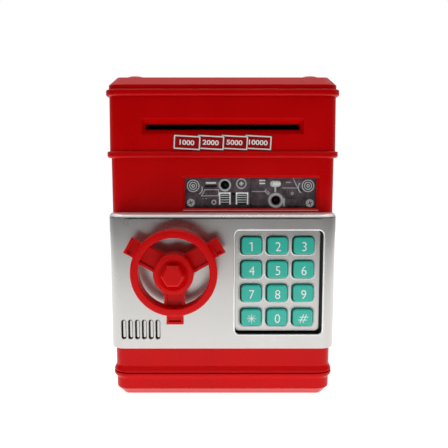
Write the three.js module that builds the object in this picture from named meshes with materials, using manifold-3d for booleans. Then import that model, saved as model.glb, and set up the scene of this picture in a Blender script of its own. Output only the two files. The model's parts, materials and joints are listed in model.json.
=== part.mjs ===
// Toy cash-machine savings bank, built piece by piece.
// Millimetres, +Z up. The user faces the -Y side and +X is to their right. The origin is on the
// surface the bank stands on, under the centre of its bounding box. The dimensions below are
// measured from a point SET_BACK in front of that origin and SET_UP above it.
import * as THREE from 'three';
import { mergeVertices } from 'three/addons/utils/BufferGeometryUtils.js';
import Module from 'manifold-3d';

const wasm = await Module();
wasm.setup();

// ---------------------------------------------------------------- driving dimensions
const GAP = 0.3; // clearance between neighbouring pieces
const WALL = 2.4; // moulded wall
const PAST = 1; // how far a cutting tool runs past the face it opens
const SET_BACK = 4.8; // moves the bank back so that its bounding box is centred on the origin
const SET_UP = 1.5; // lifts the bank so that its underside is at zero
const CORNER_STEPS = 3; // an arc is drawn with twice this many straight steps

const BODY = { halfWidth: 65.4, front: -33.2, back: 58.1, corner: 8, bottom: 13.5, top: 141.7 };
const BODY_BEAD = { top: 15.8, bead: 1.2 };
const CHAMBER_FLOOR = { under: 33, top: 35 };
const BASE = { bottom: -1.5, floor: 0.9, top: 13.2, beadBottom: 11, chamferHeight: 4.7, chamferInset: 4.5,
  bead: 1.6 };
const HEAD = { halfWidth: 65.9, front: -34, back: 58.1, corner: 8, bottom: 142, top: 177.1 };
const HEAD_BEAD = { top: 145.8, bead: 1.7 };
const ROOF = { bottom: 177.4, beadTop: 181.1, wallTop: 183.6, top: 188.2, inset: 5.2, bead: 1.7 };
const STUD = { x: 51.3, frontY: -19, backY: 43, radius: 5.2, height: 1.5 };
const COIN_SLOT = { length: 30, width: 3.6, y: 15 };

const BILL_SLOT = { halfLength: 44.4, low: 158.3, high: 161.5 };
const BILL_FUNNEL = { halfLength: 46.6, low: 155.7, high: 165, depth: 4 };
const BILL_THROAT_DEPTH = 8;

const WINDOW = { left: -22, right: 54.7, low: 112.9, high: 130.6, flare: 1.7, flareDepth: 1.6 };
const DOORWAY = { halfWidth: 56, low: 36, high: 106, corner: 4 };

const DOOR = { halfWidth: 65.3, low: 32.2, high: 110.6, front: -44, back: -33.5, corner: 8 };
const DOOR_CAVITY_RIGHT = 59.4; // the solid hinge stile lies to the right of this
const HINGE = { x: 62.8, y: -35.2, knuckle: 2, pin: 0.9, lugHalf: 4, webHalf: 1.4 };
const HINGE_HEIGHTS = { lower: 50, upper: 94 };
const VENT = { firstX: -57.3, pitch: 3.95, count: 6, width: 2.7, low: 37.8, high: 49.3, depth: 1.7 };

const KEYPAD = { left: 6.7, right: 57.7, low: 40.4, high: 101.7, corner: 3, floorFront: -40, floor: 1.4 };
const KEY = { width: 11.6, height: 9.8, corner: 2, front: -42.6, back: -38.3, hole: 0.45, bevel: 0.7 };
const KEY_COLUMNS = [16.6, 31.6, 46.6];
const KEY_ROWS = [92.5, 78.5, 64.5, 50.2];
const KEY_NAMES = ['1', '2', '3', '4', '5', '6', '7', '8', '9', 'star', '0', 'hash'];

const WHEEL = { x: -26.5, z: 80.1, rimOuter: 23.8, rimInner: 19.5, front: -62, back: -52 };
const HUB = { radius: 11, front: -64.5, back: -51, neck: 6.5 };
const SPOKE = { halfWidth: 5.75, front: -58, channelHalf: 4.3, channelFloor: -56.5 };
const TAB = { reach: 29.7, halfWidth: 4.65, front: -57.2 };
const DIMPLE = { inner: 25.4, outer: 28.2, halfWidth: 3.4, floor: -55.8 };
const SPOKE_ANGLES = [30, 150, 270];
const HEX = { acrossFlats: 11, front: -69.4 };
const SHAFT = { radius: 4, tail: 2.5 };
const LATCH = { length: 31.5, width: 7, front: -28.6, back: -26.2 };

const SOLENOID = { left: -52, right: -30, low: 94.3, high: 104.7, front: -33.3, back: -21.2 };
const PLUNGER = { radius: 2, tip: -54.5, tail: -38, y: -26.3, z: 99.5 };

const FEED = { y: -16, z: 154.2, shaft: 1.5, roller: 5.5, rollerWidth: 12, rollerX: 24 };
const PINCH = { z: 164.9, shaft: 1.3, roller: 4.7 };
const GEAR = { module: 0.75, driven: 24, pinion: 10, play: 0.35, left: 50.2, right: 54.2 };
const GEAR_DISTANCE = (GEAR.module * (GEAR.driven + GEAR.pinion)) / 2 + GEAR.play;
const MOTOR = { left: 22, right: 47.1, halfHeight: 7.5, radius: 10, z: FEED.z - GEAR_DISTANCE };
const FRAME = { inner: 47.5, outer: 49.5, front: -25.5, back: -4, low: 149, high: 169 };

const BATTERY = { radius: 7.1, length: 50, rows: [4.6, 20, 35.4], z: 10.1 };
const BATTERY_BOX = { halfLength: 29.2, front: -4, back: 44, top: 17.4, wall: 1.6 };
const BATTERY_COVER = { low: 1.2, high: 2.6, tabHalf: 6, tabBack: 54, screwY: 50 };
const SPEAKER = { x: -44.5, y: 20, radius: 13 };
const CASE_SCREW = { x: 52, frontY: -23, backY: 50, head: 3.2, shank: 1.4, headLow: 5.2, headHigh: 7.7 };
const DOOR_SCREWS = [[-46, 41], [1, 41], [1, 103], [-52.5, 88]];

// ---------------------------------------------------------------- materials
const finish = (color, roughness, metalness = 0) =>
  new THREE.MeshStandardMaterial({ color, roughness, metalness });
const looks = {
  redPlastic: () => finish('#b00408', 0.36),
  silverPlastic: () => finish('#c9c7c2', 0.34, 0.55),
  tealPlastic: () => finish('#2eb8a4', 0.42),
  blackPlastic: () => finish('#1b1b1d', 0.5),
  darkPanel: () => finish('#4a4248', 0.45, 0.3),
  clearPlastic: () => finish('#eef3f5', 0.08),
  steel: () => finish('#b6b8ba', 0.3, 1),
  rubber: () => finish('#26262a', 0.8),
  greyRubber: () => finish('#8c8f90', 0.75),
  nylon: () => finish('#e8e6dc', 0.5),
  circuitBoard: () => finish('#1f6b3a', 0.45),
  batteryWrap: () => finish('#3d5f9c', 0.35),
  greenLens: () => finish('#2f9a44', 0.15),
  redLens: () => finish('#c01818', 0.15),
};

// ---------------------------------------------------------------- solids
// A closed three.js geometry as a solid that can be joined and cut.
function solid(geometry) {
  geometry.deleteAttribute('normal');
  geometry.deleteAttribute('uv');
  const merged = mergeVertices(geometry, 1e-4);
  const index = merged.index.array;
  const triangles = [];
  for (let i = 0; i < index.length; i += 3) {
    const [a, b, c] = [index[i], index[i + 1], index[i + 2]];
    if (a !== b && b !== c && c !== a) triangles.push(a, b, c);
  }
  return new wasm.Manifold(new wasm.Mesh({
    numProp: 3,
    vertProperties: new Float32Array(merged.attributes.position.array),
    triVerts: new Uint32Array(triangles),
  }));
}
const join = (first, ...others) => others.reduce((whole, part) => whole.add(part), first);
const cut = (first, ...tools) => tools.reduce((left, tool) => left.subtract(tool), first);

// A finished solid as a named mesh.
function piece(name, shape, material) {
  const mesh = shape.getMesh();
  const geometry = new THREE.BufferGeometry();
  geometry.setAttribute('position', new THREE.BufferAttribute(mesh.vertProperties, 3));
  geometry.setIndex(new THREE.BufferAttribute(mesh.triVerts, 1));
  geometry.computeVertexNormals();
  const made = new THREE.Mesh(geometry, material);
  made.name = name;
  return made;
}

// ---------------------------------------------------------------- outlines
function roundedRect(x0, y0, x1, y1, radius) {
  const shape = new THREE.Shape();
  const quarter = Math.PI / 2;
  shape.absarc(x1 - radius, y1 - radius, radius, 0, quarter);
  shape.absarc(x0 + radius, y1 - radius, radius, quarter, 2 * quarter);
  shape.absarc(x0 + radius, y0 + radius, radius, 2 * quarter, 3 * quarter);
  shape.absarc(x1 - radius, y0 + radius, radius, 3 * quarter, 4 * quarter);
  return shape;
}
// The plan of a housing level, grown outwards by `grow`.
const plan = (level, grow = 0) =>
  roundedRect(-level.halfWidth - grow, level.front - grow, level.halfWidth + grow, level.back + grow,
    level.corner + grow);
const polygon = (points) => new THREE.Shape(points.map(([x, y]) => new THREE.Vector2(x, y)));

// ---------------------------------------------------------------- solids along each axis
const extrude = (shape, depth, steps = CORNER_STEPS) =>
  new THREE.ExtrudeGeometry(shape, { depth, bevelEnabled: false, curveSegments: steps });
const alongZ = (shape, z0, z1, steps) => solid(extrude(shape, z1 - z0, steps).translate(0, 0, z0));
// The outline's own x and y become x and z.
const alongY = (shape, y0, y1, steps) =>
  solid(extrude(shape, y1 - y0, steps).rotateX(Math.PI / 2).translate(0, y1, 0));
// The outline's own x and y become y and z.
const toX = new THREE.Matrix4().makeBasis(
  new THREE.Vector3(0, 1, 0), new THREE.Vector3(0, 0, 1), new THREE.Vector3(1, 0, 0));
const alongX = (shape, x0, x1, steps) =>
  solid(extrude(shape, x1 - x0, steps).applyMatrix4(toX).translate(x0, 0, 0));

const block = (x0, x1, y0, y1, z0, z1) =>
  solid(new THREE.BoxGeometry(x1 - x0, y1 - y0, z1 - z0)
    .translate((x0 + x1) / 2, (y0 + y1) / 2, (z0 + z1) / 2));
const rodZ = (x, y, radius, z0, z1, sides = 20, topRadius = radius) =>
  solid(new THREE.CylinderGeometry(topRadius, radius, z1 - z0, sides)
    .rotateX(Math.PI / 2).translate(x, y, (z0 + z1) / 2));
const rodY = (x, z, radius, y0, y1, sides = 20, backRadius = radius) =>
  solid(new THREE.CylinderGeometry(backRadius, radius, y1 - y0, sides).translate(x, (y0 + y1) / 2, z));
const rodX = (y, z, radius, x0, x1, sides = 20) =>
  solid(new THREE.CylinderGeometry(radius, radius, x1 - x0, sides)
    .rotateZ(-Math.PI / 2).translate((x0 + x1) / 2, y, z));

// A prism whose top edge is chamfered by `inset` over `height`.
function chamferedTop(shape, z0, z1, inset, height) {
  return solid(new THREE.ExtrudeGeometry(shape, {
    depth: z1 - z0 - 2 * height,
    bevelThickness: height,
    bevelSize: inset,
    bevelOffset: -inset,
    bevelSegments: 1,
    curveSegments: CORNER_STEPS,
  }).translate(0, 0, z0 + height));
}

// A low dome standing on height z.
function dome(x, y, z, radius, height) {
  const ball = (radius * radius + height * height) / (2 * height);
  const steps = 3;
  const sink = 0.5;
  const profile = [new THREE.Vector2(0, -sink), new THREE.Vector2(radius, -sink)];
  const reach = Math.asin(radius / ball);
  for (let i = 0; i < steps; i += 1) {
    const angle = reach * (1 - i / steps);
    profile.push(new THREE.Vector2(ball * Math.sin(angle), height - ball + ball * Math.cos(angle)));
  }
  profile.push(new THREE.Vector2(0, height));
  return solid(new THREE.LatheGeometry(profile, 16).rotateX(Math.PI / 2).translate(x, y, z));
}

// ---------------------------------------------------------------- housing
const caseScrews = [
  ['front_left', -CASE_SCREW.x, CASE_SCREW.frontY], ['front_right', CASE_SCREW.x, CASE_SCREW.frontY],
  ['rear_left', -CASE_SCREW.x, CASE_SCREW.backY], ['rear_right', CASE_SCREW.x, CASE_SCREW.backY],
];
const postTop = BASE.top + 2.5; // top of the base tray's screw posts

function baseTray() {
  const inset = { halfWidth: 65, front: BODY.front, back: BODY.back, corner: BODY.corner };
  const chamfered = chamferedTop(plan(inset), BASE.bottom, BASE.top, BASE.chamferInset, BASE.chamferHeight);
  const wall = alongZ(plan(inset), BASE.bottom + BASE.chamferHeight, BASE.top);
  const bead = alongZ(plan(inset, BASE.bead), BASE.beadBottom, BASE.top);
  const hollow = chamferedTop(plan(inset, -WALL), BASE.floor, 3 * BASE.top, BASE.chamferInset, BASE.chamferHeight);
  let tray = cut(join(chamfered, wall, bead), hollow);

  const box = BATTERY_BOX;
  const boxWalls = block(-box.halfLength - box.wall, box.halfLength + box.wall,
    box.front - box.wall, box.back + box.wall, 0, box.top + box.wall);
  const rib = block(-1.2, 1.2, box.back, BATTERY_COVER.screwY, 0, 12);
  const post = rodZ(0, BATTERY_COVER.screwY, 3.2, 0, 12);
  tray = join(tray, boxWalls, rib, post);
  for (const [, x, y] of caseScrews) tray = tray.add(rodZ(x, y, 4.8, 0, postTop, 12));

  const below = BASE.bottom - PAST;
  tray = cut(tray,
    block(-box.halfLength, box.halfLength, box.front, box.back, below, box.top),
    block(-BATTERY_COVER.tabHalf, BATTERY_COVER.tabHalf, box.back - PAST, BATTERY_COVER.tabBack,
      below, BATTERY_COVER.high + GAP),
    rodZ(0, BATTERY_COVER.screwY, 1.5, 0, 11, 8));
  for (const [, x, y] of caseScrews) {
    tray = cut(tray, rodZ(x, y, CASE_SCREW.head + 0.4, below, CASE_SCREW.headHigh + GAP, 12),
      rodZ(x, y, CASE_SCREW.shank + GAP, 0, postTop + PAST, 6));
  }
  const grillePitch = 5;
  for (const i of [-2, -1, 0, 1, 2]) {
    const halfLength = i % 2 === 0 ? 6 + (i === 0 ? 3 : -1) : 8;
    const y = SPEAKER.y + i * grillePitch;
    tray = tray.subtract(block(SPEAKER.x - halfLength, SPEAKER.x + halfLength, y - 0.9, y + 0.9,
      below, BASE.floor + PAST));
  }
  return tray;
}

function bodyShell() {
  let shell = cut(join(alongZ(plan(BODY), BODY.bottom, BODY.top),
    alongZ(plan(BODY, BODY_BEAD.bead), BODY.bottom, BODY_BEAD.top)),
    alongZ(plan(BODY, -WALL), CHAMBER_FLOOR.top, BODY.top + PAST),
    alongZ(plan(BODY, -WALL), BODY.bottom - PAST, CHAMBER_FLOOR.under));
  for (const [, x, y] of caseScrews) {
    shell = join(shell, rodZ(x, y, 4, postTop + GAP, CHAMBER_FLOOR.top - PAST, 12));
    shell = cut(shell, rodZ(x, y, CASE_SCREW.shank + GAP, postTop, 28, 6));
  }
  const doorway = alongY(roundedRect(-DOORWAY.halfWidth, DOORWAY.low, DOORWAY.halfWidth, DOORWAY.high,
    DOORWAY.corner), BODY.front - PAST, BODY.front + WALL + PAST);
  const opening = roundedRect(WINDOW.left, WINDOW.low, WINDOW.right, WINDOW.high, 0.6);
  const flare = new THREE.ExtrudeGeometry(opening, {
    depth: PAST, bevelThickness: WINDOW.flareDepth, bevelSize: WINDOW.flare, bevelSegments: 1,
    curveSegments: 1,
  }).rotateX(Math.PI / 2).translate(0, BODY.front, 0);
  shell = cut(shell, doorway, alongY(opening, BODY.front - PAST, BODY.front + WALL + PAST, 1),
    solid(flare));
  for (const z of Object.values(HINGE_HEIGHTS)) {
    const knuckle = rodZ(HINGE.x, HINGE.y, HINGE.knuckle, z - HINGE.lugHalf, z + HINGE.lugHalf, 12);
    const web = block(HINGE.x - HINGE.webHalf, HINGE.x + HINGE.webHalf, HINGE.y, -28.5,
      z - HINGE.lugHalf, z + HINGE.lugHalf);
    shell = cut(join(shell, knuckle, web),
      rodZ(HINGE.x, HINGE.y, HINGE.pin + GAP, z - 2 * HINGE.lugHalf, z + 2 * HINGE.lugHalf, 8));
  }
  return shell;
}

function headShell() {
  const throat = { halfLength: BILL_FUNNEL.halfLength + 2, low: 152, high: 168 };
  let shell = join(alongZ(plan(HEAD), HEAD.bottom, HEAD.top),
    alongZ(plan(HEAD, HEAD_BEAD.bead), HEAD.bottom, HEAD_BEAD.top));
  shell = cut(shell, alongZ(plan(HEAD, -WALL), HEAD.bottom - PAST, HEAD.top + PAST));
  shell = join(shell, block(-throat.halfLength, throat.halfLength, HEAD.front + 1,
    HEAD.front + BILL_THROAT_DEPTH, throat.low, throat.high));
  // The funnel narrows from its mouth on the front face down to the slot.
  const middle = (BILL_SLOT.low + BILL_SLOT.high) / 2;
  const mouth = BILL_FUNNEL.high - middle;
  const upper = polygon([[HEAD.front - PAST, middle], [HEAD.front + BILL_FUNNEL.depth, middle],
    [HEAD.front + BILL_FUNNEL.depth, BILL_SLOT.high], [HEAD.front, middle + mouth],
    [HEAD.front - PAST, middle + mouth]]);
  const lower = polygon([[HEAD.front - PAST, BILL_FUNNEL.low], [HEAD.front, BILL_FUNNEL.low],
    [HEAD.front + BILL_FUNNEL.depth, BILL_SLOT.low], [HEAD.front + BILL_FUNNEL.depth, middle + 0.1],
    [HEAD.front - PAST, middle + 0.1]]);
  return cut(shell, alongX(upper, -BILL_FUNNEL.halfLength, BILL_FUNNEL.halfLength),
    alongX(lower, -BILL_FUNNEL.halfLength, BILL_FUNNEL.halfLength),
    block(-BILL_SLOT.halfLength, BILL_SLOT.halfLength, HEAD.front - PAST,
      HEAD.front + BILL_THROAT_DEPTH + PAST, BILL_SLOT.low, BILL_SLOT.high));
}

function roofCap() {
  const chamfer = ROOF.top - ROOF.wallTop;
  let cap = join(alongZ(plan(HEAD), ROOF.bottom, ROOF.wallTop),
    alongZ(plan(HEAD, ROOF.bead), ROOF.bottom, ROOF.beadTop),
    chamferedTop(plan(HEAD), ROOF.bottom, ROOF.top, ROOF.inset, chamfer));
  cap = cut(cap, chamferedTop(plan(HEAD, -WALL), ROOF.bottom - 2 * chamfer, ROOF.top - WALL,
    ROOF.inset - 1, chamfer));
  for (const x of [-STUD.x, STUD.x]) {
    for (const y of [STUD.frontY, STUD.backY]) {
      cap = cap.add(dome(x, y, ROOF.top, STUD.radius, STUD.height));
    }
  }
  return cut(cap, block(-COIN_SLOT.length / 2, COIN_SLOT.length / 2, COIN_SLOT.y - COIN_SLOT.width / 2,
    COIN_SLOT.y + COIN_SLOT.width / 2, ROOF.top - WALL - PAST, ROOF.top + PAST));
}

// A screw along Z with its head down, or along Y with its head to the back, and a cross recess.
function screw(head, headLength, shank, shankLength) {
  const recess = (w, l) => block(-w, w, -l, l, -PAST, headLength * 0.6);
  return cut(join(rodZ(0, 0, head, 0, headLength, 12), rodZ(0, 0, shank, headLength / 2,
    headLength + shankLength, 6)), recess(head * 0.13, head * 0.6), recess(head * 0.6, head * 0.13));
}

const batteryCover = () => cut(join(
  block(-BATTERY_BOX.halfLength + GAP, BATTERY_BOX.halfLength - GAP, BATTERY_BOX.front + GAP,
    BATTERY_BOX.back - GAP, BATTERY_COVER.low, BATTERY_COVER.high),
  block(-BATTERY_COVER.tabHalf + GAP, BATTERY_COVER.tabHalf - GAP, BATTERY_BOX.back - 2,
    BATTERY_COVER.tabBack - GAP, BATTERY_COVER.low, BATTERY_COVER.high)),
rodZ(0, BATTERY_COVER.screwY, 1.5, 0, 4, 8));

function battery(y) {
  const half = BATTERY.length / 2;
  const cap = rodX(y, BATTERY.z, 2.7, half - 2, half, 8);
  return join(rodX(y, BATTERY.z, BATTERY.radius, -half, half - 1.5, 16), cap);
}

function speaker() {
  const { x, y, radius } = SPEAKER;
  const low = BASE.floor + GAP;
  return join(rodZ(x, y, radius, low, low + 1.5, 20), rodZ(x, y, radius, low + 1.5, low + 5, 20, 9),
    rodZ(x, y, 7, low + 4, low + 8, 16));
}

// ---------------------------------------------------------------- window
const panelFront = BODY.front + 5;
const LEDS = { green: [1.3, 126.4], red: [31.4, 117.3] };
function windowPanel() {
  const margin = 2;
  const plate = alongY(roundedRect(WINDOW.left - margin, WINDOW.low - margin, WINDOW.right + margin,
    WINDOW.high + margin, 1), panelFront, panelFront + 2, 1);
  return cut(plate, ...Object.values(LEDS).map(([x, z]) =>
    rodY(x, z, 2.6, panelFront - PAST, panelFront + 3, 12)));
}
const windowLens = () => alongY(roundedRect(WINDOW.left - 2, WINDOW.low - 2, WINDOW.right + 2,
  WINDOW.high + 2, 1), BODY.front + WALL + GAP, BODY.front + WALL + GAP + 1.2, 1);
const mainBoard = () => cut(block(-20, 52, -24, -22.4, 113, 131),
  rodY(-16, 117, 1.5, -25, -21, 10), rodY(48, 127, 1.5, -25, -21, 10));
const led = ([x, z]) => join(rodY(x, z, 2.2, -27, -24.3, 10), rodY(x, z, 1.2, -28, -26.5, 10, 2.2));

// ---------------------------------------------------------------- door
function doorOutline() {
  const { halfWidth: w, corner: r, front, back } = DOOR;
  const shape = new THREE.Shape();
  shape.moveTo(w, back);
  shape.lineTo(-w, back);
  shape.absarc(-w + r, front + r, r, Math.PI, 1.5 * Math.PI);
  shape.absarc(w - r, front + r, r, 1.5 * Math.PI, 2 * Math.PI);
  return shape;
}

const screwBossBack = -35.4; // back of the bosses that the door's inner cover rests on
function doorShell() {
  const skin = DOOR.front + WALL;
  const edge = 1.7;
  let door = cut(alongZ(doorOutline(), DOOR.low, DOOR.high),
    block(-DOOR.halfWidth + WALL + 2.5, DOOR_CAVITY_RIGHT, skin, DOOR.back + PAST, DOOR.low + WALL,
      DOOR.high - WALL));
  const floorBack = KEYPAD.floorFront + KEYPAD.floor;
  door = join(door,
    block(KEYPAD.left - edge, DOOR_CAVITY_RIGHT + 0.5, skin - 0.5, floorBack, KEYPAD.low - edge,
      KEYPAD.high + edge),
    rodY(WHEEL.x, WHEEL.z, 8, skin - 0.5, screwBossBack, 24),
    ...DOOR_SCREWS.map(([x, z]) => rodY(x, z, 2.8, skin - 0.5, screwBossBack, 10)));
  door = cut(door,
    alongY(roundedRect(KEYPAD.left, KEYPAD.low, KEYPAD.right, KEYPAD.high, KEYPAD.corner),
      DOOR.front - PAST, KEYPAD.floorFront, 2),
    rodY(WHEEL.x, WHEEL.z, SHAFT.radius + GAP, DOOR.front - PAST, DOOR.back, 24),
    ...DOOR_SCREWS.map(([x, z]) => rodY(x, z, 1.2, skin + 1, DOOR.back, 6)));
  for (const z of KEY_ROWS) {
    for (const x of KEY_COLUMNS) {
      const [w, h] = [KEY.width / 2 + KEY.hole, KEY.height / 2 + KEY.hole];
      door = door.subtract(alongY(roundedRect(x - w, z - h, x + w, z + h, KEY.corner + KEY.hole),
        KEYPAD.floorFront - PAST, floorBack + PAST, 1));
    }
  }
  for (let i = 0; i < VENT.count; i += 1) {
    const x = VENT.firstX + i * VENT.pitch;
    door = door.subtract(alongY(roundedRect(x - VENT.width / 2, VENT.low, x + VENT.width / 2, VENT.high,
      VENT.width / 2 - 0.01), DOOR.front - PAST, DOOR.front + VENT.depth, 2));
  }
  const notch = HINGE.knuckle + 0.45;
  for (const z of Object.values(HINGE_HEIGHTS)) {
    door = cut(door,
      block(HINGE.x - notch, DOOR.halfWidth + PAST, HINGE.y - notch, DOOR.back + PAST,
        z - HINGE.lugHalf - 0.4, z + HINGE.lugHalf + 0.4),
      rodZ(HINGE.x, HINGE.y, HINGE.pin + GAP, z - 8.5, z + 8.5, 8));
  }
  return door;
}

const coverFront = screwBossBack + GAP;
const coverBack = DOOR.back - 0.1;
const doorBackCover = () => cut(
  alongY(roundedRect(-60, DOOR.low + WALL + GAP, DOOR_CAVITY_RIGHT - GAP, DOOR.high - WALL - GAP, 1),
    coverFront, coverBack, 1),
  rodY(WHEEL.x, WHEEL.z, SHAFT.radius + GAP, coverFront - PAST, coverBack + PAST, 24),
  ...DOOR_SCREWS.map(([x, z]) => rodY(x, z, 1.3, coverFront - PAST, coverBack + PAST, 6)));

const keypadSheet = (y0, y1) => alongY(roundedRect(8, 42, 56, 100, 2), y0, y1, 1);
const keypadMat = () => join(keypadSheet(-36.9, -36.4), keypadDomes());
const keypadDomes = () => {
  const domes = KEY_ROWS.flatMap((z) => KEY_COLUMNS.map((x) => rodY(x, z, 3, -37.1, -36.6, 6)));
  return join(...domes);
};
const keypadBoard = () => keypadSheet(-36.1, -35.4);

function keyCap() {
  const [w, h] = [KEY.width / 2, KEY.height / 2];
  const outline = roundedRect(-w, -h, w, h, KEY.corner);
  const bevelled = new THREE.ExtrudeGeometry(outline, {
    depth: KEY.back - KEY.front - 2 * KEY.bevel, bevelThickness: KEY.bevel, bevelSize: KEY.bevel,
    bevelOffset: -KEY.bevel, bevelSegments: 1, curveSegments: 1,
  }).rotateX(Math.PI / 2).translate(0, (KEY.back - KEY.front) / 2 - KEY.bevel, 0);
  return solid(bevelled);
}

// ---------------------------------------------------------------- handwheel, in its own frame
// The wheel's axis is the local Y axis, and y is the same as the bank's.
function radialBlock(angle, r0, r1, halfWidth, y0, y1) {
  return solid(new THREE.BoxGeometry(r1 - r0, y1 - y0, 2 * halfWidth)
    .translate((r0 + r1) / 2, (y0 + y1) / 2, 0).rotateY(-THREE.MathUtils.degToRad(angle)));
}
function handwheel() {
  const ring = new THREE.Shape().absarc(0, 0, WHEEL.rimOuter, 0, 2 * Math.PI);
  ring.holes.push(new THREE.Path().absarc(0, 0, WHEEL.rimInner, 0, 2 * Math.PI, true));
  let wheel = join(alongY(ring, WHEEL.front, WHEEL.back, 24),
    rodY(0, 0, HUB.radius, HUB.front, HUB.back, 32),
    rodY(0, 0, HUB.neck, HUB.back - PAST, DOOR.front - GAP, 24));
  for (const angle of SPOKE_ANGLES) {
    const spoke = radialBlock(angle, 6, WHEEL.rimInner + 1, SPOKE.halfWidth, SPOKE.front, WHEEL.back + 0.5);
    const tab = radialBlock(angle, WHEEL.rimInner + 1, TAB.reach, TAB.halfWidth, TAB.front, WHEEL.back);
    wheel = join(wheel, spoke, tab);
  }
  for (const angle of SPOKE_ANGLES) {
    wheel = cut(wheel,
      radialBlock(angle, HUB.radius, WHEEL.rimInner, SPOKE.channelHalf, HUB.front, SPOKE.channelFloor),
      radialBlock(angle, DIMPLE.inner, DIMPLE.outer, DIMPLE.halfWidth, HUB.front, DIMPLE.floor));
  }
  return cut(wheel, rodY(0, 0, SHAFT.radius + GAP, HUB.front + 1.5, DOOR.front + PAST, 24));
}
function hubCap() {
  const circum = HEX.acrossFlats / Math.sqrt(3);
  const bevel = 1;
  return join(rodY(0, 0, circum, HEX.front + bevel, HUB.front - GAP, 6),
    rodY(0, 0, circum - bevel, HEX.front, HEX.front + bevel, 6, circum));
}
const wheelShaft = () => join(rodY(0, 0, SHAFT.radius, HUB.front + 2, LATCH.front - GAP, 24),
  rodY(0, 0, SHAFT.tail, LATCH.front - PAST, LATCH.back + GAP, 16));
function latchArm() {
  const half = LATCH.width / 2;
  return cut(join(rodY(0, 0, 6.5, LATCH.front, LATCH.back, 20),
    block(-half, half, LATCH.front, LATCH.back, -LATCH.length, 0)),
  rodY(0, 0, SHAFT.tail + GAP, LATCH.front - PAST, LATCH.back + PAST, 16));
}

// ---------------------------------------------------------------- lock solenoid
const solenoid = () => cut(block(SOLENOID.left, SOLENOID.right, SOLENOID.front, SOLENOID.back,
  SOLENOID.low, SOLENOID.high),
rodX(PLUNGER.y, PLUNGER.z, PLUNGER.radius + GAP, SOLENOID.left - PAST, PLUNGER.tail + 1.5, 16));
const plunger = () => rodX(PLUNGER.y, PLUNGER.z, PLUNGER.radius, PLUNGER.tip, PLUNGER.tail, 16);

// ---------------------------------------------------------------- bill feeder
function gearOutline(teeth) {
  const pitch = (GEAR.module * teeth) / 2;
  const [root, tip] = [pitch - 1.15 * GEAR.module, pitch + 0.8 * GEAR.module];
  const step = (2 * Math.PI) / teeth;
  const points = [];
  for (let i = 0; i < teeth; i += 1) {
    for (const [radius, share] of [[root, -0.27], [tip, -0.1], [tip, 0.1], [root, 0.27]]) {
      const angle = (i + share) * step;
      points.push([radius * Math.cos(angle), radius * Math.sin(angle)]);
    }
  }
  return polygon(points);
}
// A gear about X with a tooth along +Y. With 24 teeth it then has a tooth along -Z, and with 10 a gap
// along +Z, so the pair below is in mesh at rest.
const gear = (teeth) => alongX(gearOutline(teeth), GEAR.left, GEAR.right);
const roller = (radius, bore, x) => cut(
  rodX(0, 0, radius, x - FEED.rollerWidth / 2, x + FEED.rollerWidth / 2, 18),
  rodX(0, 0, bore + GAP, x - FEED.rollerWidth, x + FEED.rollerWidth, 8));

function guideWindows(z0, z1, halfLength) {
  const half = FEED.rollerWidth / 2 + 1;
  return [-FEED.rollerX, FEED.rollerX].map((x) =>
    block(x - half, x + half, FEED.y - halfLength, FEED.y + halfLength, z0 - PAST, z1 + PAST));
}
const GUIDE = { lowerLow: 157.2, lowerHigh: 158.7, upperLow: 161.4, upperHigh: 162.9 };
function feederFrame() {
  const side = (x0, x1, low) => block(x0, x1, FRAME.front, FRAME.back, low, FRAME.high);
  return cut(join(side(-FRAME.outer, -FRAME.inner, FRAME.low),
    side(FRAME.inner, FRAME.outer, MOTOR.z - MOTOR.halfHeight - 1),
    block(-FRAME.inner - PAST, FRAME.inner + PAST, FRAME.front, FRAME.back, GUIDE.lowerLow, GUIDE.lowerHigh)),
  ...guideWindows(GUIDE.lowerLow, GUIDE.lowerHigh, 6.2),
  rodX(FEED.y, FEED.z, FEED.shaft + GAP, -60, 60, 16),
  rodX(FEED.y, PINCH.z, PINCH.shaft + GAP, -60, 60, 16),
  rodX(FEED.y, MOTOR.z, 3.6, 40, 60, 16));
}
const upperGuide = () => cut(
  block(-FRAME.inner + GAP, FRAME.inner - GAP, FRAME.front, FRAME.back, GUIDE.upperLow, GUIDE.upperHigh),
  ...guideWindows(GUIDE.upperLow, GUIDE.upperHigh, 5.4));
const feedMotor = () => cut(rodX(0, 0, MOTOR.radius, MOTOR.left, MOTOR.right, 24)
  .intersect(block(MOTOR.left - PAST, MOTOR.right + PAST, -MOTOR.radius, MOTOR.radius,
    -MOTOR.halfHeight, MOTOR.halfHeight)),
rodX(0, 0, 1.3, 38, MOTOR.right + PAST, 12));

// ---------------------------------------------------------------- the assembly
const bank = new THREE.Group();
const at = (x, y, z, ...meshes) => {
  const place = new THREE.Group();
  place.position.set(x, y, z);
  place.add(...meshes);
  return place;
};

bank.add(
  piece('base_tray', baseTray(), looks.redPlastic()),
  piece('body_shell', bodyShell(), looks.redPlastic()),
  piece('head_shell', headShell(), looks.redPlastic()),
  piece('roof_cap', roofCap(), looks.redPlastic()),
  piece('window_lens', windowLens(), looks.clearPlastic()),
  piece('window_panel', windowPanel(), looks.darkPanel()),
  piece('main_board', mainBoard(), looks.circuitBoard()),
  piece('green_led', led(LEDS.green), looks.greenLens()),
  piece('red_led', led(LEDS.red), looks.redLens()),
  piece('speaker', speaker(), looks.blackPlastic()),
  piece('battery_cover', batteryCover(), looks.redPlastic()),
);
BATTERY.rows.forEach((y, i) => bank.add(piece(`battery_${i + 1}`, battery(y), looks.batteryWrap())));
bank.add(at(0, BATTERY_COVER.screwY, 0.2,
  piece('battery_cover_screw', screw(2.6, 0.7, 1.2, 9), looks.steel())));
for (const [corner, x, y] of caseScrews) {
  const shape = screw(CASE_SCREW.head, CASE_SCREW.headHigh - CASE_SCREW.headLow, CASE_SCREW.shank, 19);
  bank.add(at(x, y, CASE_SCREW.headLow, piece(`case_screw_${corner}`, shape, looks.steel())));
}

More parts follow.
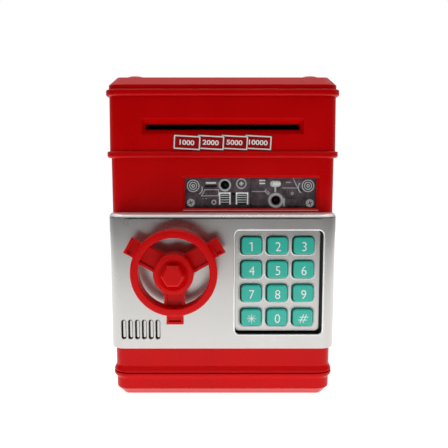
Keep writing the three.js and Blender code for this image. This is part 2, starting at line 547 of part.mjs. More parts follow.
const door = new THREE.Group();
door.add(
  piece('door_shell', doorShell(), looks.silverPlastic()),
  piece('door_back_cover', doorBackCover(), looks.blackPlastic()),
  piece('keypad_mat', keypadMat(), looks.greyRubber()),
  piece('keypad_board', keypadBoard(), looks.circuitBoard()),
  piece('lock_solenoid', solenoid(), looks.steel()),
  piece('lock_plunger', plunger(), looks.steel()),
);
for (const [end, z] of Object.entries(HINGE_HEIGHTS)) {
  door.add(at(HINGE.x, HINGE.y, z,
    piece(`hinge_pin_${end}`, rodZ(0, 0, HINGE.pin, -8, 8, 8), looks.steel())));
}
DOOR_SCREWS.forEach(([x, z], i) => {
  const made = piece(`door_screw_${i + 1}`, screw(2.2, 1, 0.9, 6), looks.steel());
  made.rotation.x = Math.PI / 2;
  door.add(at(x, coverBack + GAP + 1, z, made));
});
KEY_NAMES.forEach((name, i) => {
  const [x, z] = [KEY_COLUMNS[i % 3], KEY_ROWS[Math.floor(i / 3)]];
  door.add(at(x, (KEY.front + KEY.back) / 2, z, piece(`key_${name}`, keyCap(), looks.tealPlastic())));
});
const boss = piece('hub_cap', hubCap(), looks.redPlastic());
boss.rotation.y = Math.PI / 6; // two of the hexagon's points lie level with its centre
door.add(at(WHEEL.x, 0, WHEEL.z,
  piece('handwheel', handwheel(), looks.redPlastic()),
  boss,
  piece('wheel_shaft', wheelShaft(), looks.steel()),
  piece('latch_arm', latchArm(), looks.steel())));
bank.add(door);

bank.add(
  piece('feeder_frame', feederFrame(), looks.blackPlastic()),
  piece('bill_guide_upper', upperGuide(), looks.blackPlastic()),
  at(0, FEED.y, FEED.z,
    piece('feed_shaft', rodX(0, 0, FEED.shaft, -FRAME.outer - 2, GEAR.right + 1, 10), looks.steel()),
    piece('feed_roller_left', roller(FEED.roller, FEED.shaft, -FEED.rollerX), looks.rubber()),
    piece('feed_roller_right', roller(FEED.roller, FEED.shaft, FEED.rollerX), looks.rubber()),
    piece('feed_gear', gear(GEAR.driven).subtract(rodX(0, 0, FEED.shaft + GAP, 40, 60, 10)),
      looks.nylon())),
  at(0, FEED.y, PINCH.z,
    piece('pinch_shaft', rodX(0, 0, PINCH.shaft, -FRAME.outer - 0.4, FRAME.outer + 0.4, 10), looks.steel()),
    piece('pinch_roller_left', roller(PINCH.roller, PINCH.shaft, -FEED.rollerX), looks.rubber()),
    piece('pinch_roller_right', roller(PINCH.roller, PINCH.shaft, FEED.rollerX), looks.rubber())),
  at(0, FEED.y, MOTOR.z,
    piece('feed_motor', feedMotor(), looks.steel()),
    piece('motor_pinion', join(gear(GEAR.pinion), rodX(0, 0, 1, 40, GEAR.right + 0.5, 8)),
      looks.nylon())),
);

bank.position.set(0, SET_BACK, SET_UP);

export default bank;
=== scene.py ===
# Looks of the toy cash-machine savings bank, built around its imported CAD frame.
import json
import math

import bmesh
import bpy
from mathutils import Matrix, Vector


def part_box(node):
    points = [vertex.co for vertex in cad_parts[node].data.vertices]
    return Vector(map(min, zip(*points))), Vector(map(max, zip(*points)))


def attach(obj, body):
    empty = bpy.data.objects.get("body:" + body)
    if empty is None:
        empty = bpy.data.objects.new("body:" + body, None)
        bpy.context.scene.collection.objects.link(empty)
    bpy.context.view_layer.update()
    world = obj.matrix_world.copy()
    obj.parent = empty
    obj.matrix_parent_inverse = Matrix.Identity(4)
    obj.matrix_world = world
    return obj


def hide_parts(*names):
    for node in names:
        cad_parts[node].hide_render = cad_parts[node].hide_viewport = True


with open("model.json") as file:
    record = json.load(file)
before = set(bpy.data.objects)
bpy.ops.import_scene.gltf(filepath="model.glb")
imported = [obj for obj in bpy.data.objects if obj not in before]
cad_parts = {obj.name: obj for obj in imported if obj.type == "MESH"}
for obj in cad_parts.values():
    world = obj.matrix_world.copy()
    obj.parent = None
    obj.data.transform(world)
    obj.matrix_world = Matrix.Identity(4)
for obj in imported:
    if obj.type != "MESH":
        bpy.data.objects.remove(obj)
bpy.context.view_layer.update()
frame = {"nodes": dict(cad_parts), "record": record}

# Lengths below are millimetres: +Z up, -Y to the user, +X to the user's right. They are measured from a
# point 44 mm behind the door's face and 32.2 mm under the door, SHIFT away from the CAD frame's origin.
MM = 0.001
SHIFT = Vector((0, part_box("door_shell")[0].y / MM + 44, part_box("door_shell")[0].z / MM - 32.2))


def place_of(node):
    """A CAD node's lowest and highest corners."""
    low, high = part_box(node)
    return low / MM - SHIFT, high / MM - SHIFT


# ---------------------------------------------------------------- outlines and profiles
def rounded(a0, a1, b0, b1, radius, steps=6):
    """A rounded rectangle's points, anticlockwise, the same number for any size."""
    points = []
    centres = ((a1, b1), (a0, b1), (a0, b0), (a1, b0))
    signs = ((-1, -1), (1, -1), (1, 1), (-1, 1))
    for quarter, ((a, b), (sa, sb)) in enumerate(zip(centres, signs)):
        for i in range(steps + 1):
            angle = (quarter + i / steps) * math.pi / 2
            across, up = math.cos(angle), math.sin(angle)
            points.append((a + sa * radius + radius * across, b + sb * radius + radius * up))
    return points


def circle(a, b, radius, count=48):
    turns = [2 * math.pi * i / count for i in range(count)]
    return [(a + radius * math.cos(t), b + radius * math.sin(t)) for t in turns]


def filleted(corners, steps=4):
    """A line through (a, b, radius) corners, with every inner corner rounded by its own radius."""
    line = [corners[0][:2]]
    for before, (a, b, radius), after in zip(corners, corners[1:], corners[2:]):
        corner, start, end = Vector((a, b)), Vector(before[:2]), Vector(after[:2])
        if radius == 0:
            line.append((a, b))
            continue
        to_start, to_end = (start - corner), (end - corner)
        half = to_start.angle(to_end) / 2
        reach = min(radius / math.tan(half), 0.49 * to_start.length, 0.49 * to_end.length)
        radius = reach * math.tan(half)
        u, v = to_start.normalized(), to_end.normalized()
        centre = corner + (u + v).normalized() * (radius / math.sin(half))
        first, last = corner + u * reach - centre, corner + v * reach - centre
        turn = first.angle_signed(last)
        for i in range(steps + 1):
            spoke = first.copy()
            spoke.rotate(Matrix.Rotation(-turn * i / steps, 2))
            line.append(tuple(centre + spoke))
    line.append(corners[-1][:2])
    return line


# ---------------------------------------------------------------- meshes
def mesh_object(name, points, faces, material):
    mesh = bpy.data.meshes.new(name)
    mesh.from_pydata([(Vector(p) + SHIFT) * MM for p in points], [], faces)
    work = bmesh.new()
    work.from_mesh(mesh)
    bmesh.ops.remove_doubles(work, verts=work.verts, dist=1e-7)
    bmesh.ops.recalc_face_normals(work, faces=work.faces)
    work.to_mesh(mesh)
    work.free()
    mesh.materials.append(material)
    obj = bpy.data.objects.new(name, mesh)
    bpy.context.scene.collection.objects.link(obj)
    return obj


def loft(name, rings, material, closed=False):
    """A skin through rings of equal length. A closed one joins its last ring to its first."""
    count = len(rings[0])
    faces = []
    for i in range(len(rings) if closed else len(rings) - 1):
        a, b = i * count, (i + 1) % len(rings) * count
        faces += [(a + k, a + (k + 1) % count, b + (k + 1) % count, b + k) for k in range(count)]
    if not closed:
        faces.append(tuple(reversed(range(count))))
        faces.append(tuple(range((len(rings) - 1) * count, len(rings) * count)))
    return mesh_object(name, [p for ring in rings for p in ring], faces, material)


def along_y(name, outline, y0, y1, material, edge=0.0, grow=None):
    """A prism along Y of an outline in x and z. With an edge, its front edge is rounded by that much, and
    grow(d) gives the outline d outside it."""
    if edge == 0:
        rings = [[(x, y, z) for x, z in outline] for y in (y0, y1)]
        return loft(name, rings, material)
    rings, steps = [], 4
    for i in range(steps + 1):
        angle = i / steps * math.pi / 2
        shrink = edge * (1 - math.sin(angle))
        rings.append([(x, y0 + edge * (1 - math.cos(angle)), z) for x, z in grow(-shrink)])
    rings.append([(x, y1, z) for x, z in grow(0)])
    return loft(name, rings, material)


def soft_plate(name, x0, x1, z0, z1, radius, y0, y1, edge, material, steps=6):
    """A plate with a rounded outline and a rounded front edge at y0."""
    grow = lambda d: rounded(x0 - d, x1 + d, z0 - d, z1 + d, max(radius + d, 0.01), steps)
    return along_y(name, None, y0, y1, material, edge, grow)


def turned(name, profile, material, count=64, axis="y", centre=(0, 0, 0)):
    """A ring or disc: a closed profile of (radius, along) points turned about an axis through centre."""
    points = []
    for i in range(count):
        angle = 2 * math.pi * i / count
        c, s = math.cos(angle), math.sin(angle)
        for r, a in profile:
            point = (r * c, a, r * s) if axis == "y" else (r * c, r * s, a)
            points.append(tuple(Vector(point) + Vector(centre)))
    n, faces = len(profile), []
    for i in range(count):
        a, b = i * n, (i + 1) % count * n
        faces += [(a + k, a + (k + 1) % n, b + (k + 1) % n, b + k) for k in range(n)]
    return mesh_object(name, points, faces, material)


def settle(obj):
    """Applies an object's modifiers to its mesh."""
    bpy.context.view_layer.update()
    made = bpy.data.meshes.new_from_object(obj.evaluated_get(bpy.context.evaluated_depsgraph_get()))
    old, name = obj.data, obj.data.name
    obj.modifiers.clear()
    obj.data = made
    bpy.data.meshes.remove(old)
    made.name = name
    return obj


def boolean(obj, tools, operation="DIFFERENCE"):
    """Cuts obj by each tool, or joins them, and removes the tools."""
    for tool in tools:
        step = obj.modifiers.new("step", "BOOLEAN")
        step.operation, step.object, step.solver = operation, tool, "EXACT"
        settle(obj)
        bpy.data.meshes.remove(tool.data)
    return obj


def merged(name, objects):
    """Several separate objects as one, each keeping its material."""
    work, materials = bmesh.new(), []
    for obj in objects:
        start = len(work.faces)
        work.from_mesh(obj.data)
        work.faces.ensure_lookup_table()
        for face in work.faces[start:]:
            material = obj.data.materials[face.material_index]
            if material not in materials:
                materials.append(material)
            face.material_index = materials.index(material)
        bpy.data.meshes.remove(obj.data)
    mesh = bpy.data.meshes.new(name)
    work.to_mesh(mesh)
    work.free()
    for material in materials:
        mesh.materials.append(material)
    obj = bpy.data.objects.new(name, mesh)
    bpy.context.scene.collection.objects.link(obj)
    return obj


def even_normals(obj):
    """Keeps large flat faces looking flat beside their rounded edges."""
    normals = obj.modifiers.new("normals", "WEIGHTED_NORMAL")
    normals.keep_sharp = True


def add(obj, body, slot, *nodes):
    """Shades a finished piece, lets it ride on its body and stand for its CAD nodes."""
    obj.data.shade_smooth()
    obj.data.set_sharp_from_angle(angle=math.radians(32))
    even_normals(obj)
    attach(obj, body)
    if nodes:
        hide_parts(*nodes)


def block(name, x0, x1, y0, y1, z0, z1, material):
    return loft(name, [[(x0, y0, z), (x1, y0, z), (x1, y1, z), (x0, y1, z)] for z in (z0, z1)], material)


def rod(name, axis, centre, radius, start, end, material, count=32):
    """A round bar along an axis, from start to end on it. centre is its place on the other two."""
    outline = circle(*centre, radius, count)
    if axis == "y":
        return along_y(name, outline, start, end, material)
    return loft(name, [[(x, y, z) for x, y in outline] for z in (start, end)], material)


def beading(name, path, y, radius, material):
    """A thin round bead along a closed path of (x, z) points."""
    rings, count, sides = [], len(path), 8
    for i, (x, z) in enumerate(path):
        before, after = Vector(path[i - 1]), Vector(path[(i + 1) % count])
        along = (after - before).normalized()
        out = Vector((along.y, -along.x))
        ring = []
        for k in range(sides):
            turn = 2 * math.pi * k / sides
            reach, rise = radius * math.cos(turn), radius * math.sin(turn)
            ring.append((x + out.x * reach, y + rise, z + out.y * reach))
        rings.append(ring)
    return loft(name, rings, material, closed=True)


def paint(obj, material, chosen):
    """Gives another material to the faces that chosen(centre, normal) picks, in millimetres."""
    obj.data.materials.append(material)
    for face in obj.data.polygons:
        if chosen(face.center / MM - SHIFT, face.normal):
            face.material_index = len(obj.data.materials) - 1


def lettering(name, text, x, z, y, height, material, bold=0.0, squeeze=1.0, lean=0.0):
    """Printed characters facing the user, centred on (x, z), with their face at y."""
    curve = bpy.data.curves.new(name, "FONT")
    curve.body, curve.align_x, curve.align_y = text, "CENTER", "CENTER"
    cap_share, thick = 0.73, 0.05  # a digit's height for a size of 1, and half the print's thickness
    curve.size, curve.offset, curve.resolution_u = height / cap_share, bold, 6
    curve.extrude = thick
    obj = bpy.data.objects.new(name, curve)
    bpy.context.scene.collection.objects.link(obj)
    bpy.context.view_layer.update()
    mesh = bpy.data.meshes.new_from_object(obj.evaluated_get(bpy.context.evaluated_depsgraph_get()))
    bpy.data.curves.remove(curve)
    across = [v.co.x for v in mesh.vertices]
    up = [v.co.y for v in mesh.vertices]
    middle = Vector(((min(across) + max(across)) / 2, (min(up) + max(up)) / 2, 0))
    points = []
    for vertex in mesh.vertices:
        flat = vertex.co - middle
        a, b = flat.x * squeeze, flat.y
        c, s = math.cos(lean), math.sin(lean)
        points.append((x + a * c - b * s, y + thick - flat.z, z + a * s + b * c))
    faces = [tuple(face.vertices) for face in mesh.polygons]
    bpy.data.meshes.remove(mesh)
    return mesh_object(name, points, faces, material)


# ---------------------------------------------------------------- materials
def shade(*display):
    """A colour as it is seen on a display, 0 to 255, for a shader."""
    return (*(v / 255 / 12.92 if v < 11 else ((v / 255 + 0.055) / 1.055) ** 2.4 for v in display), 1.0)


def node(tree, kind, links=(), **values):
    """A new shader node. links are (socket it reads, output it reads from)."""
    made = tree.nodes.new(kind)
    for name, value in values.items():
        setattr(made, name, value)
    for socket, source in links:
        if hasattr(source, "is_output"):
            tree.links.new(source, made.inputs[socket])
        else:
            made.inputs[socket].default_value = source
    return made


def tint(colour, share):
    return (*(min(1.0, c * share) for c in colour[:3]), 1.0)


def noise(tree, place, scale, detail):
    links = [("Vector", place), ("Scale", scale), ("Detail", detail)]
    return node(tree, "ShaderNodeTexNoise", links).outputs["Fac"]


def spread(tree, value, low, high, least, most, **values):
    """A value from low to high carried over to least to most."""
    links = [("Value", value), ("From Min", low), ("From Max", high), ("To Min", least), ("To Max", most)]
    return node(tree, "ShaderNodeMapRange", links, **values).outputs[0]


def worked(tree, operation, *values):
    return node(tree, "ShaderNodeMath", list(enumerate(values)), operation=operation).outputs[0]


def surface(name, colour, roughness, patches=40, grain=2200, mottle=0.07, relief=0.12, painted_edge_highlight=None, edge=0.5,
            stretch=(1, 1, 1), sockets=()):
    """A finish with soft patches and fine grain in its colour, roughness and relief, and edges lightened as a
    painted highlight.
    roughness is its (least, most), patches and grain are in features per metre, edge is in millimetres."""
    material = bpy.data.materials.new(name)
    material.use_nodes = True
    tree = material.node_tree
    shader = tree.nodes["Principled BSDF"]
    for socket, value in sockets:
        shader.inputs[socket].default_value = value
    place = node(tree, "ShaderNodeTexCoord").outputs["Object"]
    place = node(tree, "ShaderNodeMapping", [("Vector", place), ("Scale", stretch)]).outputs["Vector"]
    broad, fine = noise(tree, place, patches, 4.0), noise(tree, place, grain, 2.0)
    broad_share, fine_share = 0.65, 0.35
    both = worked(tree, "MULTIPLY_ADD", broad, broad_share, worked(tree, "MULTIPLY", fine, fine_share))
    ramp = node(tree, "ShaderNodeValToRGB", [("Fac", both)])
    for element, position, share in zip(ramp.color_ramp.elements, (0.36, 0.64), (1 - mottle, 1 + mottle)):
        element.position, element.color = position, tint(colour, share)
    shown = ramp.outputs["Color"]
    # Rounded edges are lightened towards the given colour: a painted highlight.
    if painted_edge_highlight:
        soft = node(tree, "ShaderNodeBevel", [("Radius", edge * MM)], samples=4).outputs["Normal"]
        sharp = node(tree, "ShaderNodeNewGeometry").outputs["Normal"]
        alike = node(tree, "ShaderNodeVectorMath", [(0, soft), (1, sharp)], operation="DOT_PRODUCT")
        highlit_edges = spread(tree, alike.outputs["Value"], 0.995, 0.88, 0.0, 0.6)
        uneven = worked(tree, "MULTIPLY", highlit_edges, broad)
        mix = node(tree, "ShaderNodeMix", [("Factor", uneven)], data_type="RGBA")
        colours = [s for s in mix.inputs if s.type == "RGBA"]
        tree.links.new(shown, colours[0])
        colours[1].default_value = painted_edge_highlight
        shown = [s for s in mix.outputs if s.type == "RGBA"][0]
    tree.links.new(shown, shader.inputs["Base Color"])
    tree.links.new(spread(tree, both, 0.35, 0.65, *roughness), shader.inputs["Roughness"])
    bump = node(tree, "ShaderNodeBump", [("Height", both), ("Strength", relief), ("Distance", 0.1 * MM)])
    tree.links.new(bump.outputs["Normal"], shader.inputs["Normal"])
    return material


def clear_lens():
    """Clear plastic sheet: see-through, with a gloss that grows at a slant, and a faint haze."""
    material = bpy.data.materials.new("clear_plastic")
    material.use_nodes = True
    tree = material.node_tree
    place = node(tree, "ShaderNodeTexCoord").outputs["Object"]
    haze = noise(tree, place, 60.0, 5.0)
    rough = spread(tree, haze, 0.0, 1.0, 0.03, 0.12)
    bump = node(tree, "ShaderNodeBump", [("Height", haze), ("Strength", 0.05), ("Distance", MM)])
    through = node(tree, "ShaderNodeBsdfTransparent", [("Color", (0.96, 0.97, 0.98, 1.0))]).outputs[0]
    sockets = [("Roughness", rough), ("Normal", bump.outputs["Normal"])]
    gloss = node(tree, "ShaderNodeBsdfGlossy", sockets).outputs[0]
    share = node(tree, "ShaderNodeFresnel", [("IOR", 1.35)]).outputs[0]
    mixed = node(tree, "ShaderNodeMixShader", [(0, share), (1, through), (2, gloss)])
    tree.links.new(mixed.outputs[0], tree.nodes["Material Output"].inputs["Surface"])
    tree.nodes.remove(tree.nodes["Principled BSDF"])
    return material


RED = shade(208, 1, 4)
CHROME = shade(236, 234, 232)
METAL = [("Metallic", 1.0)]
red_plastic = surface("red_plastic", RED, (0.26, 0.36), mottle=0.05, painted_edge_highlight=shade(226, 30, 34),
                      sockets=[("Specular IOR Level", 0.15)])
red_gloss = surface("red_gloss", RED, (0.16, 0.24), mottle=0.05, relief=0.05)
# A pale red for a painted highlight line along the window's lower flare.
painted_highlight_red = surface("painted_highlight_red", shade(250, 186, 178), (0.2, 0.3), mottle=0.05, relief=0.05)
silver_plastic = surface("silver_plastic", shade(204, 202, 199), (0.26, 0.34), grain=5200, mottle=0.025,
                         relief=0.08, painted_edge_highlight=shade(224, 223, 220), sockets=METAL)
# A lighter copy of the silver for painted highlights: the door's top edge, the keypad's lip and the rims
# round the keys.
painted_highlight_silver = surface("painted_highlight_silver", shade(252, 251, 250), (0.22, 0.3), mottle=0.02, relief=0.05,
                        sockets=[("Metallic", 0.4)])
black_plastic = surface("black_plastic", shade(20, 17, 18), (0.38, 0.55), mottle=0.12)
teal_plastic = surface("teal_plastic", shade(44, 186, 166), (0.2, 0.3), mottle=0.04,
                       painted_edge_highlight=shade(150, 232, 218), edge=0.7)
white_print = surface("white_print", shade(244, 243, 240), (0.45, 0.6), mottle=0.03, relief=0.05)
# Dark red print for the note tags' fields, also used inside the bill slot as painted shade.
dark_red_print_and_slot_shade = surface("dark_red_print_and_slot_shade", shade(160, 3, 8), (0.35, 0.5), mottle=0.06,
                         sockets=[("Specular IOR Level", 0.2)])
dark_panel = surface("dark_panel", shade(134, 113, 118), (0.32, 0.5), patches=260, mottle=0.42, relief=0.3,
                     painted_edge_highlight=shade(206, 196, 202))
# Chrome relief with an emission glow: painted light that keeps the window's details bright in its recess. The
# second copy glows more.
chrome_with_painted_glow, chrome_with_strong_painted_glow = [
    surface(name, CHROME, (0.2, 0.32), mottle=0.06, relief=0.05,
            sockets=[("Metallic", 0.2), ("Emission Color", CHROME), ("Emission Strength", glow)])
    for name, glow in (("chrome_with_painted_glow", 0.16), ("chrome_with_strong_painted_glow", 0.42))]
steel = surface("steel", shade(190, 192, 194), (0.2, 0.34), stretch=(1, 1, 6), relief=0.1, sockets=METAL)
roller_rubber = surface("roller_rubber", shade(38, 38, 42), (0.7, 0.85), grain=1600, mottle=0.15, relief=0.5)
grey_rubber = surface("grey_rubber", shade(140, 143, 144), (0.6, 0.75), mottle=0.06, relief=0.2)
nylon = surface("nylon", shade(232, 230, 220), (0.4, 0.52), mottle=0.04, sockets=[("Subsurface Weight", 0.1)])
circuit_board = surface("circuit_board", shade(28, 104, 56), (0.3, 0.5), patches=300, mottle=0.25, relief=0.2)
battery_wrap = surface("battery_wrap", shade(62, 96, 156), (0.25, 0.35), mottle=0.08)
green_lens = surface("green_lens", shade(24, 40, 28), (0.1, 0.2), mottle=0.1)
red_lens = surface("red_lens", shade(48, 14, 16), (0.1, 0.2), mottle=0.1)
clear_plastic = clear_lens()

# ---------------------------------------------------------------- housing
WALL = 2.4
CORNER = 8  # the radius of the housing's and the door's upright corners
SEAM = 0.28  # what a level reaches towards its neighbour, to close the gap between them
PAST = 1.0  # how far a cutting tool runs past the face it opens
WINDOW = (-22, 54.7, 112.9, 130.6)  # its opening: x, then z


def plan(half, front, back, corner, grow=0.0):
    """A level of the housing seen from above, grown outwards."""
    return rounded(-half - grow, half + grow, front - grow, back + grow, corner + grow, 9)


def stacked(name, outline, profile, material, taper=0.0, height=1.0):
    """A housing level whose outside follows (out, z) points, and grows by taper each side over its height."""
    rings, z0 = [], profile[0][1]
    for out, z in profile:
        share = taper * (z - z0) / height
        rings.append([(x + math.copysign(share, x), y, z) for x, y in outline(out)])
    return loft(name, rings, material)


def base_tray():
    low, high = place_of("base_tray")
    bead, top = 1.6, place_of("body_shell")[0].z - 0.3
    outline = lambda out: plan(high.x - bead, low.y + bead, high.y - bead, CORNER, out)
    bottom, floor_top, rise, inset = low.z, low.z + WALL, 4.7, 4.5
    profile = filleted([(-8, bottom, 0), (-inset, bottom, 0.9), (0, bottom + rise, 0.9), (0, 9.6, 1.6),
                        (bead, 11.3, 1.2), (bead, top - 0.1, 0.5), (-6, top - 0.1, 0)])
    tray = stacked("base_tray", outline, profile, red_plastic)
    inside = [(-WALL - inset, floor_top), (-WALL, floor_top + rise), (-WALL, top + PAST)]
    boolean(tray, [stacked("hollow", outline, inside, red_plastic)])
    well_low, well_high = place_of("battery_cover")
    gap, roof, thick = 0.3, 17.4, 1.6
    x, y0, y1 = well_high.x + gap, well_low.y - gap, 44
    screw_y, cover_top = 50, well_high.z + gap
    corners = [(-52, -23), (52, -23), (-52, 50), (52, 50)]
    posts = [rod("post", "z", (a, b), 4.8, 0, top + 2.5, red_plastic) for a, b in corners]
    posts.insert(0, rod("post", "z", (0, screw_y), 3.2, 0, 12, red_plastic))
    box = block("box", -x - thick, x + thick, y0 - thick, y1 + thick, 0, roof + thick, red_plastic)
    boolean(tray, [box] + posts, "UNION")
    below = bottom - PAST
    tools = [block("well", -x, x, y0, y1, below, roof, red_plastic),
             block("tab", -6, 6, y1 - 2, well_high.y + gap, below, cover_top, red_plastic),
             rod("hole", "z", (0, screw_y), 1.5, 0, 11, red_plastic)]
    for a, b in corners:
        tools += [rod("head", "z", (a, b), 3.6, below, 8, red_plastic),
                  rod("shank", "z", (a, b), 1.7, 0, top + 4, red_plastic)]
    sound = (place_of("speaker")[0] + place_of("speaker")[1]) / 2
    slot_pitch, slot_half = 5, 0.9
    for row, half in zip((-2, -1, 0, 1, 2), (5, 8, 9, 8, 5)):
        y = sound.y + slot_pitch * row
        slot = rounded(sound.x - half, sound.x + half, y - slot_half, y + slot_half, slot_half - 0.01, 4)
        rings = [[(a, b, z) for a, b in slot] for z in (below, floor_top + PAST)]
        tools.append(loft("slot", rings, red_plastic))
    boolean(tray, tools)
    paint(tray, red_gloss, lambda c, n: c.z < bottom + rise + 0.3 and -0.9 < n.z < -0.2)
    add(tray, "housing", "red_plastic", "base_tray")


def hinge_pins():
    """The middles of the two hinge pins."""
    pins = [place_of("hinge_pin_" + end) for end in ("lower", "upper")]
    x, y = [(low + high) / 2 for low, high in zip(*pins[0])][:2]
    return [(x, y, (low.z + high.z) / 2) for low, high in pins]


def body_shell():
    bead, taper, floor_under, floor_top = 1.4, 0.3, 33, 35
    low, high = place_of("body_shell")
    half, front, back = 65.1, -33.2, high.y - 1.2
    bottom, top = low.z + 0.2, high.z + SEAM
    outline = lambda out: plan(half, front, back, CORNER, out)
    profile = filleted([(-3, bottom, 0), (bead, bottom, 0.5), (bead, 14.6, 1.4), (0, 17.2, 2.6),
                        (0, top, 0.2), (-3, top, 0)])
    shell = stacked("body_shell", outline, profile, red_plastic, taper, top - bottom)
    tools = [stacked("chamber", outline, [(-WALL, floor_top), (-WALL, top + PAST)], red_plastic),
             stacked("under", outline, [(-WALL, bottom - PAST), (-WALL, floor_under)], red_plastic),
             along_y("doorway", rounded(-56, 56, 36, 106, 4), front - PAST, front + WALL + PAST, red_plastic)]
    x0, x1, z0, z1 = WINDOW
    flare, deep = 1.7, 1.6
    rings = []
    for y, d in ((front - PAST, flare + 0.9), (front, flare), (front + deep, 0), (front + WALL + PAST, 0)):
        outer = rounded(x0 - d, x1 + d, z0 - d, z1 + d, 0.5 + d / 4, 3)
        rings.append([(x, y, z) for x, z in outer])
    boolean(shell, tools + [loft("window", rings, red_plastic)])
    # A pale bar on the window's lower flare: a painted highlight line.
    sill_highlight = block("sill_painted_highlight", x0 - 1.1, x1 + 1.1, front + 0.36, front + 0.8, z0 - 1.4, z0 - 0.85, painted_highlight_red)
    add(sill_highlight, "housing", "red_plastic")
    for x, y, z in hinge_pins():
        boolean(shell, [rod("knuckle", "z", (x, y), 2, z - 4, z + 4, red_plastic),
                        block("web", x - 1.4, x + 1.4, y, -28.5, z - 4, z + 4, red_plastic)], "UNION")
        boolean(shell, [rod("bore", "z", (x, y), 1.2, z - 8, z + 8, red_plastic, 16)])
    add(shell, "housing", "red_plastic", "body_shell")


def head_shell():
    low, high = place_of("head_shell")
    bead = 1.7
    half, front, back = high.x - bead, low.y + bead, high.y - bead
    outline = lambda out: plan(half, front, back, CORNER, out)
    profile = filleted([(-4, low.z, 0), (bead, low.z, 1.5), (bead, 145.8, 1.7), (0.15, 145.95, 0.3),
                        (-0.15, high.z, 0.3), (-4, high.z, 0)])
    shell = stacked("head_shell", outline, profile, red_plastic)
    boolean(shell, [stacked("hollow", outline, [(-WALL, low.z - PAST), (-WALL, high.z + PAST)], red_plastic)])
    boolean(shell, [block("throat", -48.6, 48.6, front + 1, front + 8, 152, 168, red_plastic)], "UNION")
    # The bill slot: half its length, its lowest and highest z, at the mouth and past the sloped edges.
    mouth, slot = (46.6, 155.7, 165.0), (44.4, 158.3, 161.5)
    deep, through, flare, middle = 4, 9, 0.65, sum(mouth[1:]) / 2
    rings = []
    for y, (half_length, z0, z1) in ((front, mouth), (front + deep, slot), (front + through, slot)):
        rings.append([(x, y, z) for x, z in rounded(-half_length, half_length, z0, z1, 0.3, 2)])
    rings.insert(0, [(x * 1.012, front - PAST, z + math.copysign(flare, z - middle)) for x, y, z in rings[0]])
    boolean(shell, [loft("slot", rings, red_plastic)])
    near = 0.1
    in_slot = lambda c: abs(c.x) < slot[0] + near and slot[1] - near < c.z < slot[2] + near
    # The slot's inner walls past its mouth are painted dark red as painted shade.
    paint(shell, dark_red_print_and_slot_shade, lambda c, n: c.y > front + deep + near and in_slot(c) and abs(n.y) < 0.5)
    add(shell, "housing", "red_plastic", "head_shell")


def roof_cap():
    low, high = place_of("roof_cap")
    bead, bottom, top = 1.7, low.z - SEAM, 188.2
    outline = lambda out: plan(high.x - bead, low.y + bead, high.y - bead, CORNER, out)
    profile = filleted([(-4, bottom, 0), (bead, bottom, 1.5), (bead, 181.1, 1.7), (0, 181.2, 0.3),
                        (0, 183.6, 0.6), (-5.2, top, 0.8), (-7.5, top, 0)])
    cap = stacked("roof_cap", outline, profile, red_plastic)
    under = [(-WALL, bottom - PAST), (-WALL, 182.5), (-WALL - 4, top - WALL)]
    boolean(cap, [stacked("hollow", outline, under, red_plastic)])
    radius, height = 5.2, high.z - top
    stud = filleted([(0, -0.5, 0), (radius, -0.5, 0), (radius, 0.5 * height, 1.2),
                     (0.6 * radius, height, 2.5), (0, height, 0)])
    stud[-1] = (0.001, height)
    places = [(x, y, top) for x in (-51.3, 51.3) for y in (-19, 43)]
    boolean(cap, [turned("stud", stud, red_plastic, 40, "z", place) for place in places], "UNION")
    rings, y, half_length, half_width = [], 15, 15, 1.8
    for z, d in ((top + PAST, 1.2), (top, 0.6), (top - 0.6, 0), (top - WALL - PAST, 0)):
        a, b = half_length + d, half_width + d
        rings.append([(u, v, z) for u, v in rounded(-a, a, y - b, y + b, 0.6 + d, 4)])
    boolean(cap, [loft("coin_slot", rings, red_plastic)])
    add(cap, "housing", "red_plastic", "roof_cap")


def denominations():
    """Four overlapping printed note tags under the bill slot, each left one lying on its right neighbour."""
    front = place_of("head_shell")[0].y + 1.7
    width, height, pitch, line, lean = 15.2, 7.9, 13.6, 0.72, math.radians(-3)
    c, s = math.cos(lean), math.sin(lean)
    layers = (("edge", -0.25, black_plastic, 0.03), ("frame", 0, white_print, 0),
              ("field", line, dark_red_print_and_slot_shade, -0.03))
    made = []
    for i, text in enumerate(("1000", "2000", "5000", "10000")):
        x, z, y = (i - 1.5) * pitch, 151.0, front - 0.62 + 0.08 * i
        for name, trim, material, lift in layers:
            a, b = width / 2 - trim, height / 2 - trim
            outline = [(x + u * c - v * s, z + u * s + v * c) for u, v in rounded(-a, a, -b, b, 0.3, 2)]
            made.append(along_y(name, outline, y + lift, front + 0.05, material))
        made.append(lettering("digits", text, x, z, y - 0.1, 2.8, white_print, 0.1, 1.22, lean))
    add(merged("note_tags", made), "housing", "red_plastic")


base_tray()
body_shell()
head_shell()
roof_cap()
denominations()

# ---------------------------------------------------------------- door
door_low, door_high = place_of("door_shell")
FRONT = door_low.y
KEYS = {}
for label in ("1", "2", "3", "4", "5", "6", "7", "8", "9", "star", "0", "hash"):
    KEYS[label] = place_of("key_" + label)
PAD = (6.7, 57.7, 40.4, 101.7)  # the keypad's opening: x, then z
PLATE_FRONT, WELL_FRONT, WELL_BACK = -40.0, -39.0, -38.4
# The crease's faces are painted black: a painted shadow line under the door's top edge.
CREASE = (108.0, 108.3)  # the groove under the door's top edge, in z
# The vents: the middle of the first, half its width, its lowest and highest z, and how deep it is.
VENTS, VENT_X, VENT_PITCH, VENT_HALF, VENT_LOW, VENT_HIGH, VENT_DEEP = 6, -57.3, 3.95, 1.35, 37.8, 49.3, 1.7
shaft_low, shaft_high = place_of("wheel_shaft")
WHEEL_X, WHEEL_Z = (shaft_low.x + shaft_high.x) / 2, (shaft_low.z + shaft_high.z) / 2


